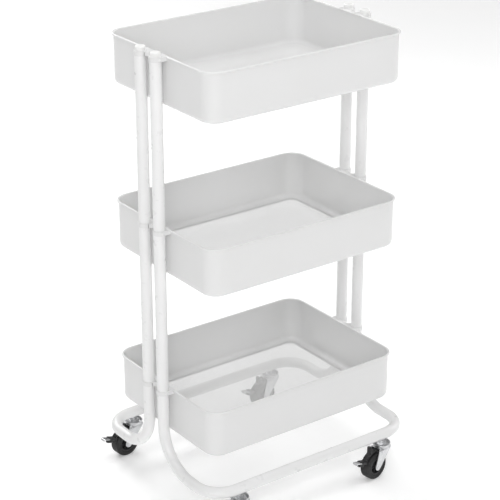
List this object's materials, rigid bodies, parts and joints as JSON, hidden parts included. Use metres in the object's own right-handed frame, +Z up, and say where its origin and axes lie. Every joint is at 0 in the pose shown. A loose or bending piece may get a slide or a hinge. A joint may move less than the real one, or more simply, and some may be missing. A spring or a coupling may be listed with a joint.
{
  "type": "rolling utility cart",
  "caption": "Rolling utility cart with open rectangular trays between twin tube uprights on a bent-tube base with braked swivel casters.",
  "frame": {"origin": "on the floor under the middle of the cart", "axes": "+Z up, +X along the long side of the trays, towards the right-hand uprights, +Y to the rear"},
  "size_m": [0.4549, 0.3696, 0.8255],
  "materials": {
    "white_tray_coat": "satin white powder coat on pressed sheet steel",
    "white_tube_coat": "smooth semi-gloss white powder coat on steel tube",
    "white_mesh": "satin white powder coat on fine steel mesh",
    "white_rivets": "white painted steel",
    "white_plastic": "moulded white plastic with a soft gloss",
    "zinc_steel": "bright zinc plate on pressed steel",
    "bearing_steel": "polished balls",
    "black_plastic": "moulded black plastic",
    "tyre_rubber": "satin black tread"
  },
  "bodies": {
    "frame": {"base_frame_front": "white_tube_coat", "base_frame_rear": "white_tube_coat", "bracket_bottom_left": "white_tray_coat", "bracket_bottom_right": "white_tray_coat", "bracket_middle_left": "white_tray_coat", "bracket_middle_right": "white_tray_coat", "bracket_rivets": "white_rivets", "bracket_top_left": "white_tray_coat", "bracket_top_right": "white_tray_coat", "caster_front_left_stem": "zinc_steel", "caster_front_right_stem": "zinc_steel", "caster_rear_left_stem": "zinc_steel", "caster_rear_right_stem": "zinc_steel", "mesh_floor_bottom": "white_mesh", "mesh_floor_middle": "white_mesh", "stem_sockets": "white_plastic", "tray_bottom": "white_tray_coat", "tray_middle": "white_tray_coat", "tray_top": "white_tray_coat", "tube_caps": "white_plastic", "tube_connectors": "zinc_steel", "upper_tube_front_left": "white_tube_coat", "upper_tube_front_right": "white_tube_coat", "upper_tube_rear_left": "white_tube_coat", "upper_tube_rear_right": "white_tube_coat"},
    "front_right_swivel": {"caster_front_right_fork": "zinc_steel", "caster_front_right_bearing_balls": "bearing_steel", "caster_front_right_axle": "zinc_steel", "caster_front_right_brake_pin": "zinc_steel"},
    "front_right_wheel": {"caster_front_right_hub": "black_plastic", "caster_front_right_tyre": "tyre_rubber"},
    "front_right_brake": {"caster_front_right_brake_rocker": "black_plastic", "caster_front_right_brake_pedal": "zinc_steel"},
    "front_left_swivel": {"caster_front_left_fork": "zinc_steel", "caster_front_left_bearing_balls": "bearing_steel", "caster_front_left_axle": "zinc_steel", "caster_front_left_brake_pin": "zinc_steel"},
    "front_left_wheel": {"caster_front_left_hub": "black_plastic", "caster_front_left_tyre": "tyre_rubber"},
    "front_left_brake": {"caster_front_left_brake_rocker": "black_plastic", "caster_front_left_brake_pedal": "zinc_steel"},
    "rear_right_swivel": {"caster_rear_right_fork": "zinc_steel", "caster_rear_right_bearing_balls": "bearing_steel", "caster_rear_right_axle": "zinc_steel", "caster_rear_right_brake_pin": "zinc_steel"},
    "rear_right_wheel": {"caster_rear_right_hub": "black_plastic", "caster_rear_right_tyre": "tyre_rubber"},
    "rear_right_brake": {"caster_rear_right_brake_rocker": "black_plastic", "caster_rear_right_brake_pedal": "zinc_steel"},
    "rear_left_swivel": {"caster_rear_left_fork": "zinc_steel", "caster_rear_left_bearing_balls": "bearing_steel", "caster_rear_left_axle": "zinc_steel", "caster_rear_left_brake_pin": "zinc_steel"},
    "rear_left_wheel": {"caster_rear_left_hub": "black_plastic", "caster_rear_left_tyre": "tyre_rubber"},
    "rear_left_brake": {"caster_rear_left_brake_rocker": "black_plastic", "caster_rear_left_brake_pedal": "zinc_steel"}
  },
  "joints": [
    {"name": "front_right_swivel_turn", "type": "hinge", "parent": "frame", "child": "front_right_swivel", "pos_m": [0.158, -0.1675, 0.06], "axis": [0, 0, 1], "continuous": true},
    {"name": "front_right_wheel_roll", "type": "hinge", "parent": "front_right_swivel", "child": "front_right_wheel", "pos_m": [0.13746, -0.17075, 0.0254], "axis": [0.1564, -0.9877, 0], "continuous": true},
    {"name": "front_right_brake_press", "type": "hinge", "parent": "front_right_swivel", "child": "front_right_brake", "pos_m": [0.14763, -0.16914, 0.053], "axis": [0.1564, -0.9877, 0], "range_deg": [0, 3]},
    {"name": "front_left_swivel_turn", "type": "hinge", "parent": "frame", "child": "front_left_swivel", "pos_m": [-0.158, -0.1675, 0.06], "axis": [0, 0, 1], "continuous": true},
    {"name": "front_left_wheel_roll", "type": "hinge", "parent": "front_left_swivel", "child": "front_left_wheel", "pos_m": [-0.17864, -0.17003, 0.0254], "axis": [0.1219, -0.9925, 0], "continuous": true},
    {"name": "front_left_brake_press", "type": "hinge", "parent": "front_left_swivel", "child": "front_left_brake", "pos_m": [-0.16842, -0.16878, 0.053], "axis": [0.1219, -0.9925, 0], "range_deg": [0, 3]},
    {"name": "rear_right_swivel_turn", "type": "hinge", "parent": "frame", "child": "rear_right_swivel", "pos_m": [0.158, 0.1675, 0.06], "axis": [0, 0, 1], "continuous": true},
    {"name": "rear_right_wheel_roll", "type": "hinge", "parent": "rear_right_swivel", "child": "rear_right_wheel", "pos_m": [0.13731, 0.16533, 0.0254], "axis": [0.1045, -0.9945, 0], "continuous": true},
    {"name": "rear_right_brake_press", "type": "hinge", "parent": "rear_right_swivel", "child": "rear_right_brake", "pos_m": [0.14756, 0.1664, 0.053], "axis": [0.1045, -0.9945, 0], "range_deg": [0, 3]},
    {"name": "rear_left_swivel_turn", "type": "hinge", "parent": "frame", "child": "rear_left_swivel", "pos_m": [-0.158, 0.1675, 0.06], "axis": [0, 0, 1], "continuous": true},
    {"name": "rear_left_wheel_roll", "type": "hinge", "parent": "rear_left_swivel", "child": "rear_left_wheel", "pos_m": [-0.17875, 0.16605, 0.0254], "axis": [0.0698, -0.9976, 0], "continuous": true},
    {"name": "rear_left_brake_press", "type": "hinge", "parent": "rear_left_swivel", "child": "rear_left_brake", "pos_m": [-0.16847, 0.16677, 0.053], "axis": [0.0698, -0.9976, 0], "range_deg": [0, 3]}
  ]
}
